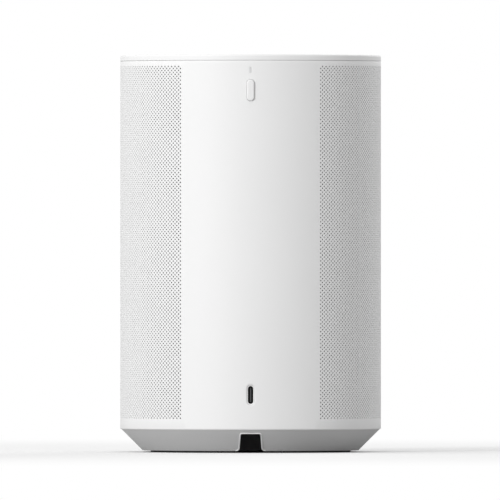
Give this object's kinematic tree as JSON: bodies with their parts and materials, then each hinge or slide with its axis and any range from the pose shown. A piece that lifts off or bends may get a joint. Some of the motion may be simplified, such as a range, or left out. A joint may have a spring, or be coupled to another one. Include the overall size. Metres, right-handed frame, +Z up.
{
  "type": "smart speaker",
  "caption": "Upright oval tabletop speaker with a perforated sleeve, smooth rear spine, push button, data port, cord recess, woofer and angled tweeters.",
  "frame": {"origin": "middle of the bounding box at floor level, on the underside of the rubber foot", "axes": "+Z up along the height; the woofer side faces -Y; the smooth spine with the button, port and cord notch faces +Y; +X is to the right seen from the front"},
  "size_m": [0.12, 0.1314, 0.1825],
  "materials": {
    "housing_white": "fine matt moulded",
    "base_white": "fine matt moulded",
    "button_white": "satin moulded",
    "light_guide": "frosted",
    "foot_rubber": "matt",
    "inlet_black": "fine textured",
    "nickel": "plated",
    "contact_grey": "moulded",
    "speaker_cloth": "knitted",
    "switch_black": "moulded",
    "circuit_board": "solder mask",
    "cabinet_black": "moulded",
    "soft_rubber": "soft",
    "gasket_foam": "foam",
    "steel": "zinc plated",
    "brass": "turned",
    "painted_steel": "black e-coat",
    "cone_paper": "pressed pulp",
    "copper": "enamelled wire",
    "spider_cloth": "impregnated",
    "ferrite": "sintered",
    "dome_silk": "coated silk",
    "chip_black": "moulded",
    "aluminium": "extruded",
    "winding_tape": "polyester tape",
    "capacitor_sleeve": "shrink sleeve",
    "film_capacitor": "moulded case",
    "wire_insulation": "silicone"
  },
  "bodies": {
    "enclosure": {"acoustic_liner": "speaker_cloth", "amplifier_board": "circuit_board", "amplifier_coils": "ferrite", "baffle": "cabinet_black", "baffle_gasket": "gasket_foam", "baffle_screws": "steel", "base_screws": "steel", "base_shell": "base_white", "board_chips": "chip_black", "board_shields": "nickel", "board_spacers": "brass", "button_board": "circuit_board", "cabinet_tub": "cabinet_black", "deck_screws": "steel", "foot_pad": "foot_rubber", "heat_spreader": "aluminium", "inlet_housing": "inlet_black", "inlet_pins": "nickel", "lead_grommet": "soft_rubber", "main_board": "circuit_board", "mains_choke": "ferrite", "mains_leads": "wire_insulation", "microphones": "nickel", "power_board": "circuit_board", "safety_capacitor": "film_capacitor", "sleeve": "housing_white", "smoothing_capacitors": "capacitor_sleeve", "status_light_lens": "light_guide", "tact_switch": "switch_black", "top_cover": "housing_white", "top_light_lens": "light_guide", "touch_board": "circuit_board", "transformer_bobbin": "winding_tape", "transformer_core": "ferrite", "tweeter_bracket": "cabinet_black", "tweeter_left_cup": "steel", "tweeter_left_waveguide": "cabinet_black", "tweeter_right_cup": "steel", "tweeter_right_waveguide": "cabinet_black", "upper_deck": "cabinet_black", "usb_shell": "nickel", "usb_tongue": "contact_grey", "woofer_basket": "painted_steel", "woofer_leads": "wire_insulation", "woofer_magnet": "ferrite", "woofer_screws": "steel", "woofer_top_plate": "steel", "woofer_trim_ring": "soft_rubber", "woofer_yoke": "steel"},
    "button": {"pair_button": "button_white", "switch_plunger": "switch_black"},
    "woofer_diaphragm": {"woofer_cone": "cone_paper", "woofer_dust_cap": "cone_paper", "woofer_voice_coil": "copper", "woofer_surround": "soft_rubber", "woofer_spider": "spider_cloth"},
    "tweeter_left_diaphragm": {"tweeter_left_dome": "dome_silk", "tweeter_left_surround": "dome_silk"},
    "tweeter_right_diaphragm": {"tweeter_right_dome": "dome_silk", "tweeter_right_surround": "dome_silk"}
  },
  "joints": [
    {"name": "button_press", "type": "slide", "parent": "enclosure", "child": "button", "axis": [0, -1, 0], "range_m": [0, 0.0008], "stiffness_N_per_m": 400},
    {"name": "woofer_stroke", "type": "slide", "parent": "enclosure", "child": "woofer_diaphragm", "axis": [0, -1, 0], "range_m": [-0.0035, 0.0035], "stiffness_N_per_m": 1500, "deforming": ["woofer_surround", "woofer_spider"]},
    {"name": "tweeter_left_stroke", "type": "slide", "parent": "enclosure", "child": "tweeter_left_diaphragm", "axis": [-0.8192, -0.5736, 0], "range_m": [-0.0004, 0.0004], "stiffness_N_per_m": 2000, "deforming": ["tweeter_left_surround"]},
    {"name": "tweeter_right_stroke", "type": "slide", "parent": "enclosure", "child": "tweeter_right_diaphragm", "axis": [0.8192, -0.5736, 0], "range_m": [-0.0004, 0.0004], "stiffness_N_per_m": 2000, "deforming": ["tweeter_right_surround"]}
  ]
}
